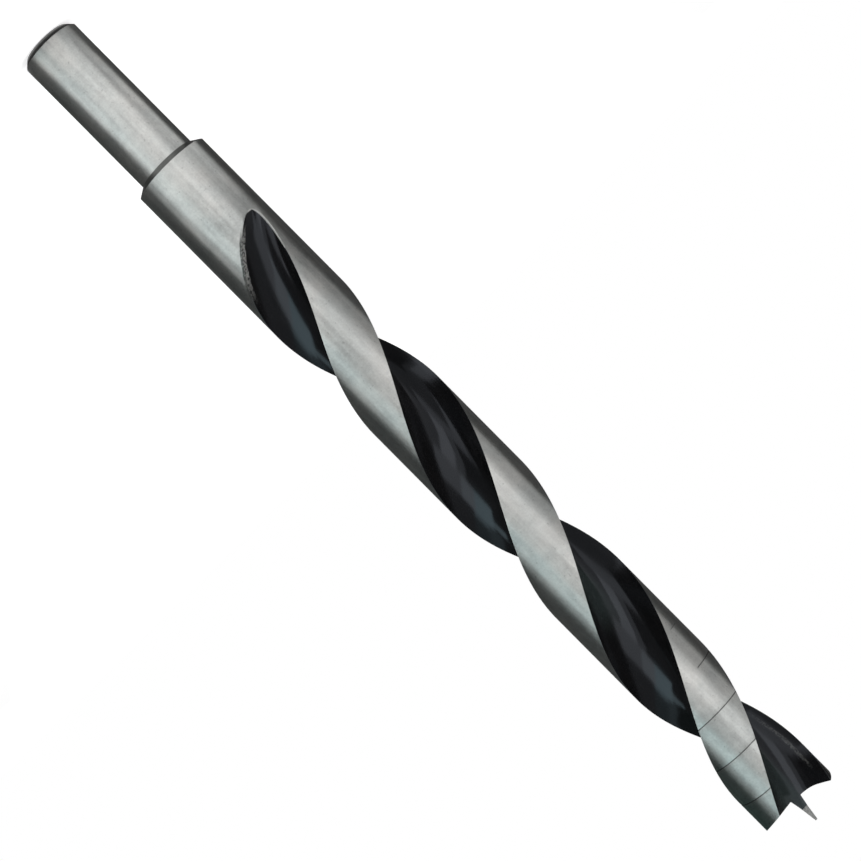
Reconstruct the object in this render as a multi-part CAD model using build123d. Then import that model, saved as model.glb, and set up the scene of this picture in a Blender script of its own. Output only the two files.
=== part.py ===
from build123d import *
from math import acos, cos, degrees, radians, sin, tan
import os

# Brad point drill bit for wood, ground from one bar of high-speed steel.
# The axis is +Z, with the origin at the middle of the shank's flat end and the point upwards.
# Sizes are in millimetres and angles in degrees.

# Driving dimensions along the bit
body_diameter = 13.0
shank_diameter = 10.0
shank_length = 25.7
shoulder_length = 1.0
shank_end_chamfer = 1.0
flute_start = 39.8
spur_height = 160.8

# Flutes
flute_count = 2
flute_lead = 77.2
runout_wheel_radius = 42.0
runout_swing = -6.0
runout_overlap = 1.0
web_at_tip = 1.8
web_taper_per_100 = 1.0
lead_span = 40.0
heel_span = 62.0
hook_angle = 12.0
heel_overlap = 10.0
section_step = 15.0

# Ground end: two cutting lips, each rising to a spur at its outer corner
lip_rise = 0.5
relief_angle = 12.0
relief_turn = 30.0

# Brad: a slender centre point between the lips
brad_height = 3.45
brad_base_width = 1.8
brad_neck_width = 1.1
brad_neck_height = 1.8
brad_tip_width = 0.35
brad_facet_width = 1.46
brad_facet_floor = 0.65

# Room that the cutters have outside the bar
clear = 3.0

body_radius = body_diameter / 2
shank_radius = shank_diameter / 2
top = spur_height + brad_height

# the spur is the lip's outermost point, ahead of the relief's middle line
spur_reach = body_radius * cos(radians(relief_turn))
spur_ahead = body_radius * sin(radians(relief_turn))
lip_base = spur_height - lip_rise - spur_ahead * tan(radians(relief_angle))
brad_neck = lip_base + brad_neck_height


def bar():
    """Turned blank: chamfered shank, conical shoulder and full-size body."""
    outline = Polyline(
        (0, 0),
        (shank_radius - shank_end_chamfer, 0),
        (shank_radius, shank_end_chamfer),
        (shank_radius, shank_length),
        (body_radius, shank_length + shoulder_length),
        (body_radius, top),
        (0, top),
        close=True,
    )
    return revolve(Plane.XZ * make_face(outline), Axis.Z)


def on_span(span):
    """Point of the body's circle, span degrees from the flute's deepest line, which is +Y."""
    return body_radius * sin(radians(span)), body_radius * cos(radians(span))


def flute_outline(web_half):
    """Flute profile: straight hooked lead face, round floor and a wider arc to the heel."""
    lead_x, lead_y = on_span(lead_span)
    face_angle = radians(90 - lead_span + hook_angle)
    across = lead_x * sin(face_angle) - (lead_y - web_half) * cos(face_angle)
    floor_radius = across / (1 - cos(face_angle))
    floor_centre = web_half + floor_radius
    tangent = (floor_radius * sin(face_angle), floor_centre - floor_radius * cos(face_angle))
    beyond = (lead_x + clear / 2 * cos(face_angle), lead_y + clear / 2 * sin(face_angle))

    heel_y = body_radius * cos(radians(heel_span))
    heel_radius = (body_radius**2 + web_half**2 - 2 * web_half * heel_y) / (2 * (heel_y - web_half))
    heel_centre = web_half + heel_radius
    heel_turn = degrees(acos((heel_centre - heel_y) / heel_radius)) + heel_overlap
    floor_turn = 90 - lead_span + hook_angle

    floor = CenterArc((0, floor_centre), floor_radius, 270, floor_turn)
    heel = CenterArc((0, heel_centre), heel_radius, 270 - heel_turn, heel_turn)
    outside = body_radius + clear
    rim = Polyline(beyond, (beyond[0], outside), ((heel @ 0).X, outside), heel @ 0)
    return make_face([heel, floor, Line(tangent, beyond), rim])


def flute_cutter():
    """One flute: its profile lofted up the helix, lifted out at the shank end as the wheel leaves."""
    web_half = web_at_tip / 2
    profile = flute_outline(web_half)
    depth = body_radius - web_half
    web_slope = web_taper_per_100 / 2 / 100
    # the wheel leaves the bar where the lift has taken up the whole depth
    full_depth = depth - web_slope * (spur_height - flute_start)
    runout_length = (2 * runout_wheel_radius * full_depth) ** 0.5
    bottom = flute_start - runout_overlap
    above = top + clear
    turns = (above - bottom) / flute_lead
    count = round(turns * 360 / section_step)
    sections = []
    for index in range(count + 1):
        z = bottom + (above - bottom) * index / count
        below_full = max(0.0, flute_start + runout_length - z)
        lift = below_full**2 / (2 * runout_wheel_radius)
        web_growth = web_slope * (spur_height - z)
        swing = runout_swing * lift / full_depth
        turn = 360 * (z - spur_height) / flute_lead - swing + lead_span - 90
        place = Location((0, 0, z), (0, 0, turn)) * Location((0, lift + web_growth, 0))
        sections.append(place * profile)
    return loft(sections)


def lip_cutter():
    """Grinding form for one lip: brad flank and lip, drawn back along the relief."""
    ahead = body_radius
    behind = body_radius + clear
    across = body_radius + clear / 2
    relief = radians(relief_angle)
    slope = lip_rise / (spur_reach - brad_base_width / 2)
    profile = make_face(
        Polyline(
            (0, top),
            (brad_tip_width / 2, top),
            (brad_neck_width / 2, brad_neck),
            (brad_base_width / 2, lip_base),
            (across, lip_base + slope * (across - brad_base_width / 2)),
            (across, top + clear),
            (0, top + clear),
            close=True,
        )
    )
    plane = Plane(origin=(0, 0, 0), x_dir=(1, 0, 0), z_dir=(0, -1, 0))
    start = Location((0, ahead, ahead * tan(relief)))
    along = (0, -cos(relief), -sin(relief))
    cutter = extrude(start * (plane * profile), (ahead + behind) / cos(relief), dir=along)
    return Location((0, 0, 0), (0, 0, -relief_turn)) * cutter


def brad_facet():
    """Cutter for one of the brad's two faces over the flutes."""
    tip_half = brad_tip_width / 2
    low = spur_height + brad_facet_floor
    outside = body_radius + clear
    profile = make_face(
        Polyline(
            (tip_half, top),
            (brad_facet_width / 2, low),
            (outside, low),
            (outside, top + clear),
            (tip_half, top + clear),
            close=True,
        )
    )
    cutter = extrude(Plane.XZ * profile, body_diameter / 2, both=True)
    return Location((0, 0, 0), (0, 0, lead_span)) * cutter


def around(cutter):
    """The cutter at each flute's place round the axis."""
    return [Location((0, 0, 0), (0, 0, 360 * index / flute_count)) * cutter for index in range(flute_count)]


def drill_bit():
    """The finished bit."""
    bit = bar()
    for cutter in (flute_cutter(), lip_cutter(), brad_facet()):
        for placed in around(cutter):
            bit -= placed
    return bit


os.makedirs("parts", exist_ok=True)
bit = drill_bit()
export_step(bit, "parts/drill_bit.step")
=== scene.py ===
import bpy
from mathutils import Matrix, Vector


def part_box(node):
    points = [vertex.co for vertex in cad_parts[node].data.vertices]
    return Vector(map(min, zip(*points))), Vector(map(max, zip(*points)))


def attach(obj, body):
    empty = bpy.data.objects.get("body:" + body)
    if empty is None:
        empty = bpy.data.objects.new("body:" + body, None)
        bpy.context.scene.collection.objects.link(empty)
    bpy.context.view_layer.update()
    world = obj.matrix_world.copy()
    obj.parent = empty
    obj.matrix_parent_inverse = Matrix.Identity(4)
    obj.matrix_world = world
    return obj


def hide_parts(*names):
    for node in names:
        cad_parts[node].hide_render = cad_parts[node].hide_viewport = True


bl_info = {
    "name": "Brad Point Drill Bit",
    "version": (1, 0, 0),
    "blender": (4, 5, 0),
    "location": "3D Viewport > Sidebar > Drill Bit",
    "description": "Models a brad point drill bit with black flutes, and the studio it is seen in",
    "category": "Add Mesh",
}

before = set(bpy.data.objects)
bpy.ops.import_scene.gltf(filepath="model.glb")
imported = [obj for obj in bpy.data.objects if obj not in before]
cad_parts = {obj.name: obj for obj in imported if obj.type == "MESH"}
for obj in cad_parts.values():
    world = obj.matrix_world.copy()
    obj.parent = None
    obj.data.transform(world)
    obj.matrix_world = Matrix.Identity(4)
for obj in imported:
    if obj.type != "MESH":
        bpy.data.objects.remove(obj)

from math import asin, atan2, cos, hypot, pi, radians, sin, sqrt, tan

import bmesh
import bpy
from bpy.props import FloatProperty, FloatVectorProperty, PointerProperty
from mathutils import Matrix, Vector

MM = 0.001
NODE = "drill_bit"
CAD_LOW, CAD_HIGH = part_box(NODE)
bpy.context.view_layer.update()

# material slots of the bit
GROUND, OXIDE, TURNED, HONED = 0, 1, 2, 3

# columns of the bit's mesh: those across a flute, those across the land behind it, and both
FLUTE_STEPS = 44
LAND_STEPS = 36
HALF = FLUTE_STEPS + LAND_STEPS

# rows of the bit's mesh: their distance up the body, and their number and crowding in the run-outs
ROW_PITCH = 0.8 * MM
RUN_OUT_ROWS = 44
CROWDING = 1.6

# how far up the run-outs the broken edges stay bright
BRIGHT_EDGE = 8 * MM

# how far the bar stands above the centre point's tip before it is cut
PROUD = 2 * MM

# room that a grinding form has outside the bar, and how far the lips' form reaches past the axis
CLEAR = 3 * MM
PAST_AXIS = 0.5 * MM

# vertices closer than this are merged, and a cut that leaves fewer faces has failed
WELD = 0.0005 * MM
FEWEST_FACES = 100

# an edge sharper than this stays hard
SHARP = radians(24)

# how much the normal of a cone's or a facet's face leans, and how far a point of the land
# may lie under the bar's surface
LEANING = 0.12
UNDER_LAND = 0.03 * MM

# the rim of a run-out, bare steel lightened further as a painted highlight, in millimetres: its width
# beside the lead, its width at the apex, its length, and the length over which it fades out
RIM_WIDTH = 0.45
APEX_RIM = 0.35
RIM_LENGTH = 10
RIM_FADE = 4

# marks on the flutes, each between two soft edges, in millimetres:
# across from the heel, negative on the land, and along from the shank's end
STRIP_ACROSS = (-0.62, -0.45), (0.65, 0.9)
# the painted sheen: a teal reflection painted on the flutes' heel side, across and in windows along the
# bit
SHEEN_ACROSS = (1.2, 3.5), (6.0, 8.0)
SHEEN_ALONG = (104.0, 111.0), (117.0, 124.0)
SHEEN_AT_POINT = 145.0, 151.0
# the painted glint: a highlight line painted near the lip, across and along
GLINT_ACROSS = (10.6, 10.85), (11.15, 11.4)
GLINT_ALONG = (144.0, 154.0), (156.0, 158.5)

# the worn strip's soft ends, in millimetres up from the run-out's apex
STRIP_ALONG = (1.0, 3.0), (6.0, 11.0)

# how deep each depth line is, from the spurs down, and between which shares of the land's width
# it is scribed
DEPTH_LINES = (
    (1.0, 0.0, 1.0),
    (1.0, 0.0, 1.0),
    (1.0, 0.0, 1.0),
    (0.9, 0.0, 0.62),
    (0.5, 0.66, 0.88),
)


def length(name, description, default):
    """A length property, whose default is given in millimetres."""
    return FloatProperty(
        name=name,
        description=description,
        default=default * MM,
        min=0.0,
        subtype="DISTANCE",
        unit="LENGTH",
        precision=5,
    )


def angle(name, description, default):
    """An angle property, whose default is given in degrees."""
    return FloatProperty(
        name=name, description=description, default=radians(default), subtype="ANGLE", unit="ROTATION"
    )


def factor(name, description, default):
    """A property between 0 and 1."""
    return FloatProperty(
        name=name, description=description, default=default, min=0.0, max=1.0, subtype="FACTOR"
    )


def colour(name, description, default):
    """A colour property in scene-linear red, green and blue."""
    return FloatVectorProperty(
        name=name, description=description, default=default, size=3, min=0.0, max=4.0, subtype="COLOR"
    )


class BitSizes(bpy.types.PropertyGroup):
    """Sizes of the drill bit."""

    body_diameter: length("Body diameter", "Full diameter over the lands", (CAD_HIGH.x - CAD_LOW.x) / MM)
    shank_diameter: length("Shank diameter", "Diameter of the reduced shank", 10.0)
    shank_length: length("Shank length", "From the end face to the shoulder", 25.7)
    shoulder: length("Shoulder", "Length of the cone from shank to body", 1.0)
    chamfer: length("Shank chamfer", "Chamfer round the shank's end", 1.0)
    flute_start: length("Flute start", "Where the flutes run out of the bar", 39.8)
    spur_height: length("Spur height", "From the shank's end to the spurs", 160.8)
    lead: length("Flute lead", "Length of one full turn of a flute", 77.2)
    wheel: length("Wheel radius", "Radius of the wheel that leaves the run-out", 42.0)
    swing: angle("Run-out swing", "Turn of the profile over the run-out", -6.0)
    web: length("Web", "Thickness of the web at the tip", 1.8)
    web_taper: length("Web taper", "Growth of the web over 100 mm towards the shank", 1.0)
    lead_span: angle("Lead span", "From the flute's deepest line to its cutting edge", 40.0)
    heel_span: angle("Heel span", "From the flute's deepest line to the heel", 62.0)
    hook: angle("Hook", "Lean of the lead face at the cutting edge", 12.0)
    edge: length("Edge break", "Width of the broken edge between flute and land", 0.04)
    lip_rise: length("Lip rise", "Rise of each lip from the centre point to its spur", 0.5)
    relief: angle("Relief", "Fall of each lip behind its edge", 12.0)
    relief_turn: angle("Relief turn", "Turn of the lip's grinding direction from the spur", 30.0)
    brad: length("Brad", "How far the centre point stands above the spurs", 3.45)
    brad_base: length("Brad base", "Width of the centre point between the lips", 1.8)
    brad_neck: length("Brad neck", "Width of the centre point where its flanks grow steeper", 1.1)
    brad_neck_rise: length("Neck rise", "Height of the neck over the lips' inner ends", 1.8)
    brad_tip: length("Brad tip", "Width of the centre point's flat tip", 0.35)
    facet_width: length("Facet width", "Distance between the tip facets at their lower ends", 1.46)
    facet_floor: length("Facet floor", "Height of the tip facets' lower ends over the spurs", 0.65)
    margin_width: length("Margin width", "Width of the black margin behind each spur", 1.0)
    margin_length: length("Margin length", "Length of the black margin behind each spur", 4.0)
    line_first: length("First depth line", "From the spurs down to the first scribed depth line", 6.2)
    line_pitch: length("Depth line pitch", "Distance between the scribed depth lines", 6.68)
    line_width: length("Depth line width", "Width of a scribed depth line", 0.24)
    line_depth: length("Depth line depth", "Depth of a scribed depth line", 0.05)


class BitFinish(bpy.types.PropertyGroup):
    """Colours and roughness of the finishes."""

    steel: colour("Ground steel", "Colour of the ground surfaces", (0.615, 0.62, 0.608))
    oxide: colour("Black oxide", "Colour of the flutes", (0.0045, 0.005, 0.0056))
    # colour of the painted sheen, a teal reflection painted on the flutes' heel side
    painted_sheen: colour("Oxide film", "Colour of thinner oxide on the flutes' heel side", (0.023, 0.031, 0.03))
    bare: colour("Bare steel", "Colour where the black oxide has worn off", (0.34, 0.34, 0.33))
    steel_roughness: factor("Steel roughness", "Mean roughness of the ground surfaces", 0.42)
    oxide_roughness: factor("Oxide roughness", "Mean roughness of the flutes", 0.14)


class StudioSettings(bpy.types.PropertyGroup):
    """Camera and light."""

    camera_azimuth: angle("Camera azimuth", "Direction of the camera round the bit", 59.7)
    camera_height: length("Camera height", "Height of the point the camera looks at", 81.9)
    camera_distance: length("Camera distance", "From the bit's axis to the camera", 338.0)
    camera_aside: length("Camera offset", "How far the camera stands beside the axis", 0.04)
    camera_roll: angle("Camera roll", "Tilt of the bit below the picture's horizontal", 45.24)
    focal_length: FloatProperty(
        name="Focal length", description="Lens of the camera", default=94.08, min=1.0, unit="CAMERA"
    )


class Flute:
    """The flute's ground form: one profile, turned along the helix and lifted out at the shank end."""

    def __init__(self, size):
        self.radius = size.body_diameter / 2
        self.size = size
        self.web_half = size.web / 2
        self.slope = size.web_taper / 2 / (100 * MM)
        self.face_angle = pi / 2 - size.lead_span + size.hook
        lead_x = self.radius * sin(size.lead_span)
        lead_y = self.radius * cos(size.lead_span)
        across = lead_x * sin(self.face_angle) - (lead_y - self.web_half) * cos(self.face_angle)
        self.floor_radius = across / (1 - cos(self.face_angle))
        heel_y = self.radius * cos(size.heel_span)
        self.heel_radius = (self.radius**2 + self.web_half**2 - 2 * self.web_half * heel_y) / (
            2 * (heel_y - self.web_half)
        )
        fluted = size.spur_height - size.flute_start
        self.full_depth = self.radius - self.web_half - self.slope * fluted
        self.full_height = size.flute_start + sqrt(2 * size.wheel * self.full_depth)
        self.borders = {}

    def profile(self, s):
        """Point of the profile at a distance s from the deepest line towards the lead."""
        if s < 0:
            turn = s / self.heel_radius
            return self.heel_radius * sin(turn), self.web_half + self.heel_radius * (1 - cos(turn))
        turn = min(s / self.floor_radius, self.face_angle)
        rest = s - turn * self.floor_radius
        x = self.floor_radius * sin(turn) + rest * cos(turn)
        y = self.web_half + self.floor_radius * (1 - cos(turn)) + rest * sin(turn)
        return x, y

    def run_out(self, z):
        """How far the wheel has left the full depth."""
        below = max(0.0, self.full_height - z)
        return below**2 / (2 * self.size.wheel)

    def lift(self, z):
        """How far the profile stands out from the web at the tip."""
        return self.run_out(z) + self.slope * (self.size.spur_height - z)

    def turn(self, z):
        """Azimuth of the deepest line."""
        swing = self.size.swing * self.run_out(z) / self.full_depth
        return 2 * pi * (z - self.size.spur_height) / self.size.lead - swing + self.size.lead_span

    def wall(self, s, z):
        """Point of the flute's wall at height z."""
        x, y = self.profile(s)
        y += self.lift(z)
        turn = self.turn(z) - pi / 2
        return Vector((x * cos(turn) - y * sin(turn), x * sin(turn) + y * cos(turn), z))

    def border(self, z, side):
        """Distance s at which the wall meets the bar's surface, on the lead (1) or the heel (-1)."""
        if (z, side) not in self.borders:
            inside, outside = 0.0, 2 * self.radius * side
            for _ in range(40):
                middle = (inside + outside) / 2
                x, y = self.profile(middle)
                if hypot(x, y + self.lift(z)) < self.radius:
                    inside = middle
                else:
                    outside = middle
            self.borders[z, side] = (inside + outside) / 2
        return self.borders[z, side]

    def across(self, point):
        """Distance s across the flute of a point on its wall."""
        turn = pi / 2 - self.turn(point.z)
        x = point.x * cos(turn) - point.y * sin(turn)
        if x < 0:
            return self.heel_radius * asin(max(-1.0, x / self.heel_radius))
        corner = self.floor_radius * sin(self.face_angle)
        if x < corner:
            return self.floor_radius * asin(x / self.floor_radius)
        return self.floor_radius * self.face_angle + (x - corner) / cos(self.face_angle)

    def faces(self, point, in_flute):
        """Whether a point lies in the first flute, or on the land behind it, not across the axis."""
        turn = self.turn(point.z)
        if not in_flute:
            turn += pi / 2
        return point.x * cos(turn) + point.y * sin(turn) > 0

    def on_margin(self, point):
        """Whether a point lies on the land's margin behind a spur, which stays black."""
        size = self.size
        on_land = hypot(point.x, point.y) >= self.radius - UNDER_LAND
        if not on_land or point.z < size.spur_height - size.margin_length:
            return False
        end = self.wall(self.border(point.z, 1), point.z)
        turn = atan2(end.y, end.x) - atan2(point.y, point.x)
        return 0 < self.radius * (turn % pi) < size.margin_width

    def past_heel(self, point, in_flute):
        """Distance from the first flute's heel: positive down its wall, negative round its land."""
        heel = self.border(point.z, -1)
        if in_flute:
            return self.across(point) - heel
        start = self.wall(heel, point.z)
        turn = atan2(point.y, point.x) - atan2(start.y, start.x)
        return -self.radius * (turn - 2 * pi * round(turn / (2 * pi)))


def on_bar(radius, azimuth, z):
    """Point of the bar at a radius, azimuth and height."""
    return Vector((radius * cos(azimuth), radius * sin(azimuth), z))


def ring_points(flute, z, line=None):
    """One ring of the body: the first flute from its lead to its heel, its land, and both again."""
    size = flute.size
    lead, heel = flute.border(z, 1), flute.border(z, -1)
    edge = min(size.edge, 0.1 * (lead - heel))
    first, last = lead - edge, heel + edge
    points = [flute.wall(first + (last - first) * k / FLUTE_STEPS, z) for k in range(FLUTE_STEPS + 1)]
    start = flute.wall(heel, z)
    end = flute.wall(lead, z)
    from_azimuth = atan2(start.y, start.x) + edge / flute.radius
    to_azimuth = atan2(-end.y, -end.x) - edge / flute.radius
    while to_azimuth < from_azimuth:
        to_azimuth += 2 * pi
    while to_azimuth - from_azimuth > 2 * pi:
        to_azimuth -= 2 * pi
    steps = LAND_STEPS - 2
    for k in range(steps + 1):
        radius = flute.radius - size.line_depth * scribed_share(line, k / steps)
        points.append(on_bar(radius, from_azimuth + (to_azimuth - from_azimuth) * k / steps, z))
    return points + [Vector((-p.x, -p.y, p.z)) for p in points]


def scribed_share(line, share):
    """How deep a depth line is at a share of the land's width."""
    if line is None:
        return 0.0
    depth, start, end = line
    return depth if start <= share <= end else 0.0


def depth_lines(size):
    """Each depth line by its height."""
    first = size.spur_height - size.line_first
    return {first - size.line_pitch * k: line for k, line in enumerate(DEPTH_LINES)}


def body_rows(flute):
    """Heights of the fluted body's rings from the top down, each with the depth line scribed there."""
    size = flute.size
    top = size.spur_height + size.brad + PROUD
    rows = {}
    count = round((top - flute.full_height) / ROW_PITCH)
    for k in range(count + 1):
        rows[top + (flute.full_height - top) * k / count] = None
    climb = flute.full_height - size.flute_start
    for k in range(1, RUN_OUT_ROWS):
        rows[size.flute_start + climb * (k / RUN_OUT_ROWS) ** CROWDING] = None
    for z, line in depth_lines(size).items():
        rows = {row: other for row, other in rows.items() if abs(row - z) > size.line_width}
        rows[z] = line
        rows[z + size.line_width / 2] = None
        rows[z - size.line_width / 2] = None
    return sorted(rows.items(), key=lambda row: -row[0])


def extrude_ring(bm, edges, points, column):
    """Extrudes a ring of edges and places its new vertices by their column."""
    grown = bmesh.ops.extrude_edge_only(bm, edges=edges)["geom"]
    for vert in grown:
        if isinstance(vert, bmesh.types.BMVert):
            vert.co = points[vert[column]]
    return [e for e in grown if isinstance(e, bmesh.types.BMEdge) and e.is_boundary]


def is_black(columns, height, size):
    """Whether a face of the fluted body is in a flute, or on a broken edge above the run-out."""
    on_edge = set(columns) in ({FLUTE_STEPS, FLUTE_STEPS + 1}, {HALF - 1, 0})
    return max(columns) <= FLUTE_STEPS or on_edge and height > size.flute_start + BRIGHT_EDGE


def fluted_body(bm, flute, column, scribed):
    """The body with both flutes, from above the point down to the run-outs. Returns its lowest ring."""
    rows = body_rows(flute)
    ring = bmesh.ops.create_circle(bm, cap_ends=True, segments=2 * HALF, radius=flute.radius)["verts"]
    points = ring_points(flute, rows[0][0])
    for index, vert in enumerate(ring):
        vert[column] = index
        vert.co = points[index]
    edges = list(bm.edges)
    for z, line in rows[1:]:
        edges = extrude_ring(bm, edges, ring_points(flute, z, line), column)
        for vert in {vert for edge in edges for vert in edge.verts}:
            share = (vert[column] % HALF - FLUTE_STEPS - 1) / (LAND_STEPS - 2)
            vert[scribed] = scribed_share(line, share) if share >= 0 else 0.0
    for face in bm.faces:
        columns = [vert[column] % HALF for vert in face.verts]
        black = is_black(columns, face.calc_center_median().z, flute.size)
        face.material_index = OXIDE if len(columns) == 4 and black else GROUND
    return edges


def close_run_outs(bm, flute, edges, column):
    """The apex of each run-out, where a flute's columns come together."""
    z = flute.size.flute_start
    turn = flute.turn(z)
    points = []
    for index in range(2 * HALF):
        half, k = divmod(index, HALF)
        share = max(0, k - FLUTE_STEPS) / LAND_STEPS
        points.append(on_bar(flute.radius, turn + pi * (half + share), z))
    old = set(bm.faces)
    extrude_ring(bm, edges, points, column)
    for face in set(bm.faces) - old:
        columns = [vert[column] % HALF for vert in face.verts]
        face.material_index = OXIDE if max(columns) <= FLUTE_STEPS else GROUND
    bmesh.ops.remove_doubles(bm, verts=bm.verts, dist=WELD)


def add_shank(bm, size, column):
    """The plain body, the shoulder and the shank, down to the end face."""
    edges = [e for e in bm.edges if e.is_boundary]
    turned = [
        (size.body_diameter / 2, size.shank_length + size.shoulder),
        (size.shank_diameter / 2, size.shank_length),
        (size.shank_diameter / 2, size.chamfer),
        (size.shank_diameter / 2 - size.chamfer, 0.0),
    ]
    for radius, height in turned:
        verts = {vert for edge in edges for vert in edge.verts}
        points = {v[column]: on_bar(radius, atan2(v.co.y, v.co.x), height) for v in verts}
        edges = extrude_ring(bm, edges, points, column)
    bmesh.ops.contextual_create(bm, geom=edges)


def fluted_bar(flute):
    """The turned bar with both flutes ground in, proud of the tip for the point to be cut."""
    bm = bmesh.new()
    bm.verts.layers.float.new("scribed")
    column = bm.verts.layers.int.new("column")
    scribed = bm.verts.layers.float["scribed"]
    edges = fluted_body(bm, flute, column, scribed)
    close_run_outs(bm, flute, edges, column)
    add_shank(bm, flute.size, column)
    bmesh.ops.recalc_face_normals(bm, faces=bm.faces)
    return bm


def chain(bm, points, closed=False):
    """A chain of edges through points."""
    verts = [bmesh.ops.create_vert(bm, co=p)["vert"][0] for p in points]
    ends = verts[1:] + verts[:1] if closed else verts[1:]
    edges = [bmesh.ops.contextual_create(bm, geom=pair)["edges"][0] for pair in zip(verts, ends)]
    return verts, edges


def prism(points, along, turn):
    """A closed prism: an outline in the XZ plane, extruded and then turned about the axis."""
    bm = bmesh.new()
    face = bmesh.ops.edgeloop_fill(bm, edges=chain(bm, points, closed=True)[1])["faces"]
    grown = bmesh.ops.extrude_face_region(bm, geom=face)["geom"]
    moved = [v for v in grown if isinstance(v, bmesh.types.BMVert)]
    bmesh.ops.translate(bm, verts=moved, vec=along)
    bmesh.ops.rotate(bm, verts=bm.verts, cent=(0, 0, 0), matrix=Matrix.Rotation(turn, 3, "Z"))
    bmesh.ops.recalc_face_normals(bm, faces=bm.faces)
    return bm


def lip_base(size):
    """Height of a lip's inner end in the middle of its relief."""
    fall = size.body_diameter / 2 * sin(size.relief_turn) * tan(size.relief)
    return size.spur_height - size.lip_rise - fall


def lip_grinder(size, turn):
    """The form that grinds one lip and one flank of the centre point."""
    radius = size.body_diameter / 2
    base = lip_base(size)
    top = size.spur_height + size.brad
    start = size.brad_base / 2
    slope = size.lip_rise / (radius * cos(size.relief_turn) - start)
    across = radius + CLEAR / 2
    outline = [
        (-PAST_AXIS, top),
        (size.brad_tip / 2, top),
        (size.brad_neck / 2, base + size.brad_neck_rise),
        (start, base),
        (across, base + slope * (across - start)),
        (across, top + CLEAR),
        (-PAST_AXIS, top + CLEAR),
    ]
    points = [Vector((x, radius, z + radius * tan(size.relief))) for x, z in outline]
    along = Vector((0.0, -1.0, -tan(size.relief))) * (2 * radius + CLEAR)
    return prism(points, along, turn - size.relief_turn)


def facet_grinder(size, turn):
    """The form that grinds one of the centre point's two tip facets."""
    radius = size.body_diameter / 2
    top = size.spur_height + size.brad
    low = size.spur_height + size.facet_floor
    wide = radius + CLEAR
    outline = [
        (size.brad_tip / 2, top),
        (size.facet_width / 2, low),
        (wide, low),
        (wide, top + CLEAR),
        (size.brad_tip / 2, top + CLEAR),
    ]
    points = [Vector((x, radius, z)) for x, z in outline]
    return prism(points, Vector((0.0, -2 * radius, 0.0)), turn + size.lead_span)


def top_grinder(size):
    """The form that cuts the bar off flat at the centre point's tip."""
    bm = bmesh.new()
    bmesh.ops.create_cube(bm, size=1.0)
    height = 8 * MM
    width = 2 * size.body_diameter
    bmesh.ops.scale(bm, verts=bm.verts, vec=(width, width, height))
    bmesh.ops.translate(bm, verts=bm.verts, vec=(0, 0, size.spur_height + size.brad + height / 2))
    return bm


def object_from(bm, name):
    """A new object in the scene with the bmesh's geometry."""
    mesh = bpy.data.meshes.new(name)
    bm.to_mesh(mesh)
    bm.free()
    obj = bpy.data.objects.new(name, mesh)
    bpy.context.scene.collection.objects.link(obj)
    return obj


def cut(obj, bm):
    """Cuts a form out of an object."""
    cutter = object_from(bm, "cutter")
    modifier = obj.modifiers.new("cut", "BOOLEAN")
    modifier.operation = "DIFFERENCE"
    modifier.solver = "EXACT"
    modifier.object = cutter
    bpy.context.view_layer.update()
    done = bpy.data.meshes.new_from_object(obj.evaluated_get(bpy.context.evaluated_depsgraph_get()))
    obj.modifiers.clear()
    if len(done.polygons) < FEWEST_FACES:
        raise RuntimeError("A cut left nothing of " + obj.name)
    old, obj.data = obj.data, done
    bpy.data.meshes.remove(old)
    bpy.data.objects.remove(cutter)


def assign_finishes(bm, flute):
    """The finishes that follow the point and the shank: cones, facets and the spurs' margins."""
    size = flute.size
    for face in bm.faces:
        middle = face.calc_center_median()
        leaning = abs(face.normal.z) > LEANING
        if leaning and middle.z < size.shank_length + size.shoulder:
            face.material_index = TURNED
        if leaning and middle.z > size.spur_height + size.facet_floor:
            face.material_index = HONED
        if flute.on_margin(middle):
            face.material_index = OXIDE


def map_finishes(bm, flute):
    """The texture map: millimetres across from the heel, and up from the shank's end."""
    wrap = bm.loops.layers.uv.new("wrap")
    for face in bm.faces:
        in_flute = face.material_index == OXIDE
        opposite = not flute.faces(face.calc_center_median(), in_flute)
        for loop in face.loops:
            point = loop.vert.co.copy()
            if opposite:
                point.xy = -point.xy
            loop[wrap].uv = (flute.past_heel(point, in_flute) / MM, point.z / MM)


def mark_rims(bm, flute):
    """The mask of the rim along the lead and round the apex of each run-out: bare steel and a painted
    highlight.
    """
    bm.verts.layers.float.new("rim")
    rim = bm.verts.layers.float["rim"]
    column = bm.verts.layers.int["column"]
    for vert in bm.verts:
        climb = (vert.co.z - flute.size.flute_start) / MM
        if -0.001 < climb < RIM_LENGTH and vert[column] % HALF <= FLUTE_STEPS:
            point = vert.co.copy()
            if not flute.faces(point, True):
                point.xy = -point.xy
            beside = (flute.border(point.z, 1) - flute.across(point)) / (RIM_WIDTH * MM)
            strength = max(0.0, 1.0 - beside, 1.0 - climb / APEX_RIM)
            vert[rim] = strength * min(1.0, (RIM_LENGTH - climb) / RIM_FADE)
    bm.verts.layers.int.remove(column)


def finish_mesh(obj, flute):
    """Hard edges, smooth faces, the finishes, the texture map and the mask that they read."""
    bm = bmesh.new()
    bm.from_mesh(obj.data)
    bmesh.ops.remove_doubles(bm, verts=bm.verts, dist=WELD)
    bmesh.ops.dissolve_degenerate(bm, dist=WELD, edges=bm.edges)
    bmesh.ops.recalc_face_normals(bm, faces=bm.faces)
    for edge in bm.edges:
        edge.smooth = edge.is_manifold and edge.calc_face_angle(0.0) < SHARP
    for face in bm.faces:
        face.smooth = True
    assign_finishes(bm, flute)
    map_finishes(bm, flute)
    mark_rims(bm, flute)
    bm.to_mesh(obj.data)
    bm.free()


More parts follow.
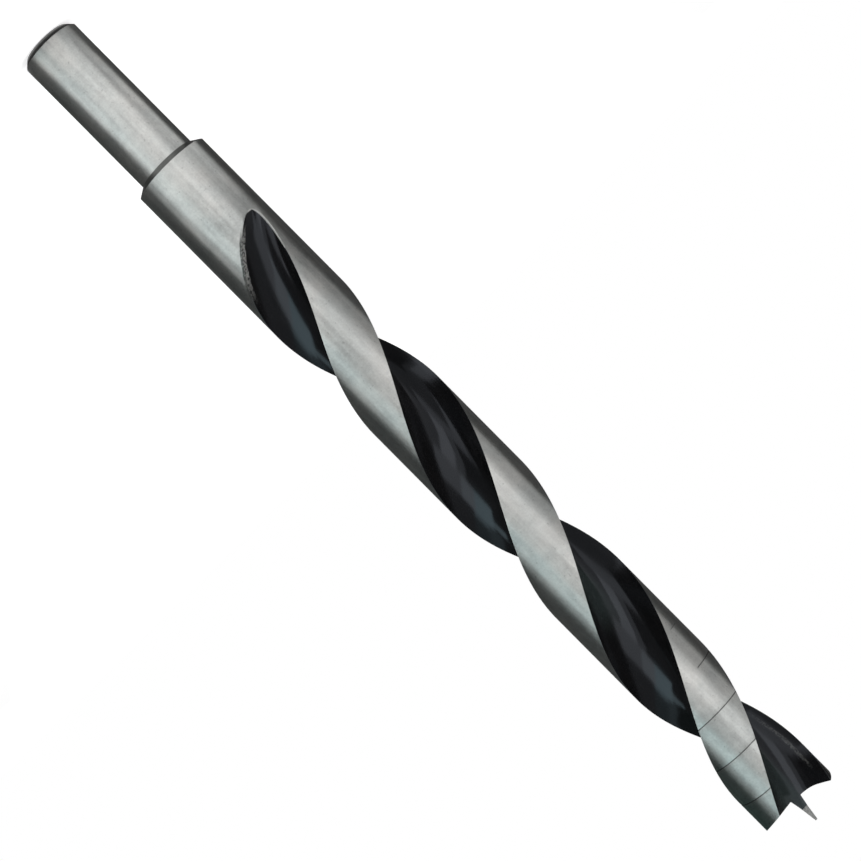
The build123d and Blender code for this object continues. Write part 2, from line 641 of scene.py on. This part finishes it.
class Wire:
    """A node's output, with arithmetic that adds Math nodes."""

    def __init__(self, shop, socket):
        self.shop = shop
        self.socket = socket

    def math(self, operation, first, second):
        """A Math node with two values."""
        return self.shop.node("ShaderNodeMath", {"operation": operation}, {0: first, 1: second})

    def __add__(self, other):
        return self.math("ADD", self, other)

    __radd__ = __add__

    def __sub__(self, other):
        return self.math("SUBTRACT", self, other)

    def __rsub__(self, other):
        return self.math("SUBTRACT", other, self)

    def __mul__(self, other):
        return self.math("MULTIPLY", self, other)

    __rmul__ = __mul__

    def other(self, output):
        """Another output of the same node."""
        return Wire(self.shop, self.socket.node.outputs[output])

    def clamp(self):
        """The value held between 0 and 1."""
        return self.shop.node("ShaderNodeClamp", {}, {"Value": self})

    def above(self, low, high):
        """0 below low, 1 above high and smooth between them."""
        settings = {"interpolation_type": "SMOOTHSTEP"}
        values = {"Value": self, "From Min": low, "From Max": high}
        return self.shop.node("ShaderNodeMapRange", settings, values)

    def within(self, rise, fall):
        """1 between two soft edges, each given by where it begins and ends."""
        return self.above(*rise) * (1.0 - self.above(*fall))

    def swing(self, amount):
        """A pattern between 0 and 1, centred on 0 and scaled."""
        return (self - 0.5) * amount


class Shop:
    """Adds nodes to a material or world."""

    def __init__(self, owner):
        owner.use_nodes = True
        self.tree = owner.node_tree
        self.tree.nodes.clear()

    def node(self, kind, settings, values, output=0):
        """A node of a type with its settings, then its sockets' values or links.

        Returns one of its outputs, or nothing for a node that has none.
        """
        made = self.tree.nodes.new(kind)
        for key, value in settings.items():
            setattr(made, key, value)
        for key, value in values.items():
            if isinstance(value, Wire):
                self.tree.links.new(value.socket, made.inputs[key])
            else:
                made.inputs[key].default_value = value
        return Wire(self, made.outputs[output]) if made.outputs else None

    def mix(self, mask, first, second):
        """A colour between two colours, which are the node's sixth and seventh sockets."""
        values = {"Factor": mask, 6: first, 7: second}
        return self.node("ShaderNodeMix", {"data_type": "RGBA"}, values, 2)

    def scaled(self, shade, level):
        """A colour multiplied by a number."""
        values = {0: shade, "Scale": level}
        return self.node("ShaderNodeVectorMath", {"operation": "SCALE"}, values)

    def noise(self, vector, scale, detail=3.0, roughness=0.5):
        """Noise between 0 and 1."""
        values = {"Vector": vector, "Scale": scale, "Detail": detail, "Roughness": roughness}
        return self.node("ShaderNodeTexNoise", {}, values)

    def stretched(self, vector, scale):
        """Coordinates with each axis scaled by itself."""
        return self.node("ShaderNodeMapping", {}, {"Vector": vector, "Scale": scale})

    def place(self):
        """Object coordinates, in metres."""
        return self.node("ShaderNodeTexCoord", {}, {}, "Object")

    def wrap(self):
        """The bit's own texture map, in millimetres."""
        return self.node("ShaderNodeUVMap", {"uv_map": "wrap"}, {})

    def apart(self, vector):
        """A vector's first two coordinates."""
        x = self.node("ShaderNodeSeparateXYZ", {}, {"Vector": vector}, "X")
        return x, x.other("Y")

    def mask(self, name):
        """A mask painted on the mesh."""
        return self.node("ShaderNodeAttribute", {"attribute_name": name}, {}, "Fac")

    def bump(self, height, strength, distance):
        """A normal bent by a height."""
        values = {"Strength": strength, "Distance": distance, "Height": height}
        return self.node("ShaderNodeBump", {}, values)

    def output(self, shader, kind="ShaderNodeOutputMaterial"):
        """The output node with its shader."""
        self.node(kind, {}, {"Surface": shader})


def new_material(name):
    """A material and the shop that adds its nodes."""
    material = bpy.data.materials.new(name)
    return material, Shop(material)


def full(shade, level=1.0, tint=(1.0, 1.0, 1.0)):
    """A colour with its alpha, at a level and with a tint."""
    return (*(part * level * share for part, share in zip(shade, tint)), 1.0)


def worn_strip(shop, wrap, size, speckle):
    """Mask of the worn strip along the heel's edge at the run-out, ragged at both sides."""
    across, along = shop.apart(wrap)
    across = across + shop.noise(wrap, 1.3, 2.0).swing(0.5)
    up = along - size.flute_start / MM
    strip = across.within(*STRIP_ACROSS) * up.within(*STRIP_ALONG)
    return (strip * (speckle.above(0.3, 0.5) * 0.6 + 0.4)).clamp()


def ground_steel(finish, size):
    """Satin steel from a cylindrical grinder: faint rings, fine grain and warm and cool clouds."""
    material, shop = new_material("ground_steel")
    place = shop.place()
    wrap = shop.wrap()
    grain = shop.noise(place, 3200.0, 2.0)
    rings = shop.noise(shop.stretched(place, (90.0, 90.0, 7000.0)), 1.0, 3.0, 0.6)
    clouds = shop.noise(place, 160.0, 3.0)
    mottling = shop.noise(place, 700.0, 4.0, 0.6)
    specks = shop.noise(place, 2000.0, 1.0).above(0.68, 0.76)
    grind_and_sheen_bands = shop.noise(shop.stretched(place, (620.0, 620.0, 40.0)), 1.0, 3.0, 0.6)
    scribed = shop.mask("scribed")
    worn = worn_strip(shop, wrap, size, shop.noise(wrap, 3.2, 3.0, 0.6))
    cool = full(finish.steel, tint=(0.98, 1.0, 0.995))
    warm = full(finish.steel, tint=(1.01, 1.0, 0.985))
    level = 1.0 + grain.swing(0.35) + clouds.swing(0.45) + mottling.swing(0.4)
    # the bands add crisp lighter and darker stripes along the bit: partly grinding tone, partly a
    # painted reflection of the lights' edges
    level = level + grind_and_sheen_bands.above(0.36, 0.64).swing(0.2) + rings.swing(0.1) - specks * 0.2
    level = level * (1.0 - scribed * 0.9) * (1.0 - worn * 0.8)
    roughness = finish.steel_roughness + grain.swing(0.1) + grind_and_sheen_bands.swing(0.08) + scribed * 0.2
    values = {
        "Base Color": shop.scaled(shop.mix(clouds.above(0.35, 0.65), cool, warm), level),
        "Metallic": 1.0,
        "Roughness": roughness.clamp(),
        "Anisotropic": 0.9,
        "Anisotropic Rotation": 0.25,
        "Normal": shop.bump(rings * 0.7 + grain * 0.5, 0.12, 0.02 * MM),
    }
    shop.output(shop.node("ShaderNodeBsdfPrincipled", {}, values))
    return material


def turned_steel(name, finish, brightness):
    """Steel with turning marks: dark on the shoulder and the chamfer, brighter on the facets."""
    material, shop = new_material(name)
    place = shop.place()
    rings = shop.noise(shop.stretched(place, (200.0, 200.0, 6000.0)), 1.0, 3.0, 0.6)
    grain = shop.noise(place, 2600.0, 3.0, 0.6)
    level = (1.0 + grain.swing(1.1) + rings.swing(0.5)) * brightness
    values = {
        "Base Color": shop.scaled(tuple(finish.steel), level),
        "Metallic": 1.0,
        "Roughness": (0.36 + grain.swing(0.2)).clamp(),
        "Normal": shop.bump(rings + grain * 0.6, 0.3, 0.03 * MM),
    }
    shop.output(shop.node("ShaderNodeBsdfPrincipled", {}, values))
    return material


def black_oxide(finish, size):
    """Glossy black oxide over the marks of the flute grinder, which run along the helix."""
    material, shop = new_material("black_oxide")
    wrap = shop.wrap()
    marks = shop.noise(shop.stretched(wrap, (5.0, 0.12, 1.0)), 1.0, 4.0, 0.6)
    patches = shop.noise(shop.stretched(wrap, (0.5, 0.16, 1.0)), 1.0, 3.0)
    grain = shop.noise(wrap, 9.0, 2.0)
    speckle = shop.noise(wrap, 3.2, 3.0, 0.6)
    worn = worn_strip(shop, wrap, size, speckle)
    rim = shop.mask("rim").above(0.15, 0.75)
    bared_and_glinting = (worn + rim).clamp()

    # the oxide: brown patches, a teal reflection painted on the heel side as a sheen, and a highlight
    # line painted near the lip
    across, along = shop.apart(wrap)
    across = across + patches.swing(0.6)
    # the painted sheen: lighter teal painted over the heel side in windows along the bit, where a
    # reflection falls
    sheen_windows = along.within(*SHEEN_ALONG) + along.above(*SHEEN_AT_POINT)
    painted_sheen = across.within(*SHEEN_ACROSS) * sheen_windows * 0.85
    # the painted glint: a thin lighter line painted near the lip as a highlight, speckled along its
    # length
    painted_glint = across.within(*GLINT_ACROSS) * along.within(*GLINT_ALONG)
    brown = full(finish.oxide, tint=(1.5, 1.2, 1.1))
    level = 0.72 + marks * 0.35 + patches * 0.25
    coat = shop.scaled(shop.mix(patches, full(finish.oxide), brown), level)
    coat = shop.mix(painted_sheen * (patches + 0.4).clamp(), coat, full(finish.painted_sheen))
    coat = shop.mix(painted_glint * speckle.above(0.36, 0.62), coat, full(finish.bare, 0.26))

    # the steel where the oxide has gone: speckled on the strip; on the rim bare steel lightened as a
    # painted highlight
    pitted = shop.mix(speckle.above(0.42, 0.58), full(finish.bare), full(finish.bare, 0.06))
    bare = shop.mix(rim, pitted, full(finish.bare, 1.3))

    roughness = finish.oxide_roughness + marks.swing(0.12) + patches.swing(0.1) + bared_and_glinting * 0.25
    values = {
        "Base Color": shop.mix(bared_and_glinting, coat, bare),
        "Roughness": roughness.clamp(),
        "Specular IOR Level": 0.36,
        "Specular Tint": (0.93, 1.0, 1.12, 1.0),
        "Normal": shop.bump(marks + grain * 0.2, 0.2, 0.03 * MM),
    }
    shop.output(shop.node("ShaderNodeBsdfPrincipled", {}, values))
    return material


class BIT_OT_drill_bit(bpy.types.Operator):
    """Turns the bar, grinds both flutes, scribes the depth lines and cuts the point"""

    bl_idname = "bit.drill_bit"
    bl_label = "Drill Bit"

    def execute(self, context):
        size = context.scene.bit_sizes
        flute = Flute(size)
        bit = object_from(fluted_bar(flute), "brad_point_bit")
        finish = context.scene.bit_finish
        bit.data.materials.append(ground_steel(finish, size))
        bit.data.materials.append(black_oxide(finish, size))
        bit.data.materials.append(turned_steel("turned_steel", finish, brightness=0.27))
        bit.data.materials.append(turned_steel("honed_point", finish, brightness=0.55))
        cut(bit, top_grinder(size))
        for turn in (0.0, pi):
            cut(bit, lip_grinder(size, turn))
            cut(bit, facet_grinder(size, turn))
        finish_mesh(bit, flute)
        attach(bit, "root")
        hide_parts(NODE)
        return {"FINISHED"}


WHITE = (1.0, 1.0, 1.0, 1.0)

# tints of the cards and lamps
NEUTRAL = (1.0, 1.0, 1.0)
PALE = (0.95, 1.0, 1.0)
TEAL = (0.79, 1.0, 1.02)
SEA = (0.6, 1.0, 0.93)
WARM_LAMP = (1.0, 0.99, 0.97)
COOL_LAMP = (0.93, 1.0, 0.99)

# the cards: height of those that lie on the floor, distance of the far ones, their upper edge,
# and the turn between their faces in degrees
LOW = 0.0001
FAR = 1.5
CEILING = 2.1
CARD_STEP = 5


def white_to_the_eye(shop, seen, lit):
    """Mixes a shader that the camera, metal and glass see with one that lights the scene."""
    camera = shop.node("ShaderNodeLightPath", {}, {}, "Is Camera Ray")
    rays = camera + camera.other("Is Glossy Ray") + camera.other("Is Transmission Ray")
    return shop.node("ShaderNodeMixShader", {}, {0: rays.clamp(), 1: lit, 2: seen})


def direction(azimuth):
    """Unit vector at an azimuth."""
    return Vector((cos(azimuth), sin(azimuth), 0.0))


def flat(inner, outer):
    """Profile of a card that lies on the floor between two radii."""
    return [(inner, LOW), (outer, LOW)]


def upright(radius, low, high):
    """Profile of a card that stands upright between two heights."""
    return [(radius, low), (radius, high)]


def card(name, studio, start, end, profile, tint, level):
    """A curved card or soft light round the bit, seen in reflections alone.

    It is spun from a profile of (radius, height) points in metres, between two angles in degrees,
    measured from the camera's direction towards the camera's right.
    """
    bm = bmesh.new()
    out = direction(studio.camera_azimuth - radians(end))
    verts, edges = chain(bm, [out * radius + Vector((0, 0, height)) for radius, height in profile])
    bmesh.ops.spin(
        bm,
        geom=verts + edges,
        cent=(0, 0, 0),
        axis=(0, 0, 1),
        angle=radians(end - start),
        steps=max(2, round((end - start) / CARD_STEP)),
    )
    obj = object_from(bm, name)
    material, shop = new_material(name)
    shop.output(shop.node("ShaderNodeEmission", {}, {"Color": full(tint), "Strength": level}))
    obj.data.materials.append(material)
    obj.visible_camera = False
    obj.visible_shadow = False
    obj.visible_diffuse = False


def cards(studio):
    """All cards: the room that the photo's reflections show, from the floor up."""
    foot = flat(0.0043, 0.0075)
    round_foot = flat(0.0075, 0.02)
    near_floor = flat(0.02, 0.06)
    second_floor = flat(0.06, 0.085)
    second_floor_far = flat(0.085, 0.12)
    third_floor = flat(0.12, 0.22)
    fourth_floor = flat(0.22, 0.4)
    floor = flat(0.02, 0.4)
    horizon = flat(0.4, FAR) + [(FAR, 0.5)]
    raised = upright(FAR, 0.5, 1.17)
    high = upright(FAR, 1.17, CEILING) + [(0.02, CEILING)]
    high_foot = upright(FAR, 1.17, 1.36)
    high_top = upright(FAR, 1.36, CEILING) + [(0.02, CEILING)]
    whole = flat(0.02, FAR) + [(FAR, CEILING), (0.02, CEILING)]
    by_shank = upright(0.04, 0.003, 0.03)
    table = (
        # the dark cards at the bit's foot are a painted shadow of the bit on the floor, as its
        # reflections see it
        ("foot_shadow_card", -100, 180, foot, NEUTRAL, 0.1),
        ("foot_front", -60, 60, round_foot, NEUTRAL, 0.7),
        ("foot_back_shadow", 60, 300, round_foot, NEUTRAL, 0.1),
        ("foot_light", -180, -100, foot, NEUTRAL, 0.7),
        ("black_card_right", 100, 165, whole, NEUTRAL, 0.07),
        ("black_card_left", -165, -82, whole, PALE, 0.07),
        ("back_card", 165, 195, whole, NEUTRAL, 0.3),
        ("near_floor_left", -82, -70, near_floor, NEUTRAL, 0.15),
        ("near_floor", -70, 60, near_floor, NEUTRAL, 1.55),
        ("second_floor", -82, 20, second_floor, NEUTRAL, 1.15),
        ("second_floor_right", 20, 60, second_floor, NEUTRAL, 0.35),
        ("second_floor_far", -82, -20, second_floor_far, NEUTRAL, 1.25),
        ("second_floor_far_right", -20, 60, second_floor_far, NEUTRAL, 0.35),
        ("third_floor", -82, -26, third_floor, NEUTRAL, 1.1),
        ("third_floor_right", -26, 60, third_floor, NEUTRAL, 0.3),
        ("fourth_floor_left", -82, -60, fourth_floor, NEUTRAL, 0.5),
        ("fourth_floor", -60, 60, fourth_floor, NEUTRAL, 0.95),
        ("floor_edge", 60, 100, floor, NEUTRAL, 0.3),
        ("camera_card", -82, -14, horizon, NEUTRAL, 0.12),
        ("camera_gap", -14, 8, horizon, NEUTRAL, 0.7),
        ("side_light", 8, 44, horizon, NEUTRAL, 1.6),
        ("side_edge", 44, 100, horizon, NEUTRAL, 0.55),
        ("shank_light", 42, 104, by_shank, NEUTRAL, 0.9),
        ("shank_flag", -110, -62, by_shank, NEUTRAL, 0.1),
        ("neck_light", -78, -62, upright(0.04, 0.03, 0.044), NEUTRAL, 1.2),
        ("run_out_flag", 38, 125, upright(0.03, 0.036, 0.053), NEUTRAL, 0.07),
        ("tip_light", 40, 115, upright(0.03, 0.158, 0.172), PALE, 0.7),
        ("tip_flag", -165, -80, upright(0.03, 0.153, 0.175), SEA, 0.05),
        ("soft_light_left", -67, -30, raised, TEAL, 1.95),
        ("soft_light_middle", -30, 0, raised, PALE, 1.68),
        ("soft_light_right", 0, 64, raised, NEUTRAL, 1.1),
        ("right_edge", 64, 100, raised, NEUTRAL, 0.4),
        ("left_edge", -82, -67, raised, NEUTRAL, 0.1),
        ("high_far_left", -82, -56, high, TEAL, 0.5),
        ("high_left", -56, -26, high_foot, TEAL, 1.4),
        ("high_top_left", -56, -26, high_top, TEAL, 0.35),
        ("left_band", -90, -67, upright(1.45, 0.8, 1.02), TEAL, 1.5),
        ("high_right", -26, 100, high, NEUTRAL, 0.25),
    )
    for name, start, end, profile, tint, level in table:
        card(name, studio, start, end, profile, tint, level)


def white_world(scene):
    """A world that looks white and lights the scene softly."""
    world = bpy.data.worlds.new("studio")
    scene.world = world
    shop = Shop(world)
    seen = shop.node("ShaderNodeBackground", {}, {"Color": WHITE, "Strength": 1.0})
    lit = shop.node("ShaderNodeBackground", {}, {"Color": WHITE, "Strength": 0.5})
    shop.output(white_to_the_eye(shop, seen, lit), "ShaderNodeOutputWorld")


def pale_floor():
    """A round pale floor, white to the camera, that keeps the bit's shadow."""
    bm = bmesh.new()
    bmesh.ops.create_circle(bm, cap_ends=True, segments=96, radius=3.0)
    floor = object_from(bm, "floor")
    material, shop = new_material("pale_floor")
    values = {"Base Color": (0.8, 0.8, 0.8, 1.0), "Roughness": 0.7}
    lit = shop.node("ShaderNodeBsdfPrincipled", {}, values)
    glow = shop.node("ShaderNodeEmission", {}, {"Color": WHITE, "Strength": 0.62})
    seen = shop.node("ShaderNodeAddShader", {}, {0: glow, 1: lit})
    shop.output(white_to_the_eye(shop, seen, lit))
    floor.data.materials.append(material)


def lamp(name, location, target, width, height, power, tint):
    """A rectangular soft light."""
    data = bpy.data.lights.new(name, "AREA")
    data.shape = "RECTANGLE"
    data.size = width
    data.size_y = height
    data.energy = power
    data.color = tint
    obj = bpy.data.objects.new(name, data)
    bpy.context.scene.collection.objects.link(obj)
    obj.location = location
    obj.rotation_euler = (Vector(target) - Vector(location)).to_track_quat("-Z", "Y").to_euler()
    obj.visible_camera = False
    obj.visible_glossy = False


def studio_camera(scene, studio, toward, aside, up):
    """The camera, level with the bit's middle and rolled so that the bit lies across the picture."""
    data = bpy.data.cameras.new("camera")
    data.lens = studio.focal_length
    data.sensor_width = 36.0
    data.clip_start = 0.01
    camera = bpy.data.objects.new("camera", data)
    scene.collection.objects.link(camera)
    roll = studio.camera_roll
    right = up * cos(roll) + aside * sin(roll)
    over = aside * cos(roll) - up * sin(roll)
    stand = toward * studio.camera_distance - aside * studio.camera_aside + up * studio.camera_height
    camera.matrix_world = Matrix(
        (
            (right.x, over.x, toward.x, stand.x),
            (right.y, over.y, toward.y, stand.y),
            (right.z, over.z, toward.z, stand.z),
            (0, 0, 0, 1),
        )
    )
    scene.camera = camera


class BIT_OT_studio(bpy.types.Operator):
    """Sets up the floor, the lights and cards, the white background and the camera"""

    bl_idname = "bit.studio"
    bl_label = "Studio"

    def execute(self, context):
        studio = context.scene.bit_studio
        scene = context.scene
        scene.view_settings.view_transform = "Standard"
        white_world(scene)
        pale_floor()
        cards(studio)

        toward = direction(studio.camera_azimuth)
        aside = direction(studio.camera_azimuth - pi / 2)
        up = Vector((0, 0, 1))
        target = (0.0, 0.0, studio.camera_height)
        key = toward * 0.6 + aside * 0.45 + up * 0.75
        fill = toward * 0.5 - aside * 0.6 + up * 0.5
        lamp("key_light", key, target, width=0.5, height=0.7, power=3.0, tint=WARM_LAMP)
        lamp("fill_light", fill, target, width=0.5, height=0.6, power=2.0, tint=COOL_LAMP)
        studio_camera(scene, studio, toward, aside, up)
        return {"FINISHED"}


class BIT_PT_panel(bpy.types.Panel):
    """Sizes and finishes of the drill bit"""

    bl_label = "Drill Bit"
    bl_idname = "BIT_PT_panel"
    bl_space_type = "VIEW_3D"
    bl_region_type = "UI"
    bl_category = "Drill Bit"

    def draw(self, context):
        layout = self.layout
        for group in (context.scene.bit_sizes, context.scene.bit_finish, context.scene.bit_studio):
            box = layout.box()
            for key in group.bl_rna.properties.keys():
                if key not in ("rna_type", "name"):
                    box.prop(group, key)
        layout.operator("bit.drill_bit")
        layout.operator("bit.studio")


CLASSES = (BitSizes, BitFinish, StudioSettings, BIT_OT_drill_bit, BIT_OT_studio, BIT_PT_panel)


def register():
    """Registers the classes and gives the scene its settings."""
    for cls in CLASSES:
        bpy.utils.register_class(cls)
    bpy.types.Scene.bit_sizes = PointerProperty(type=BitSizes)
    bpy.types.Scene.bit_finish = PointerProperty(type=BitFinish)
    bpy.types.Scene.bit_studio = PointerProperty(type=StudioSettings)


def unregister():
    """Takes the settings and the classes away again."""
    del bpy.types.Scene.bit_sizes
    del bpy.types.Scene.bit_finish
    del bpy.types.Scene.bit_studio
    for cls in reversed(CLASSES):
        bpy.utils.unregister_class(cls)


def main():
    """Makes the bit and the studio."""
    register()
    bpy.ops.bit.drill_bit()
    bpy.ops.bit.studio()


if __name__ == "__main__":
    main()
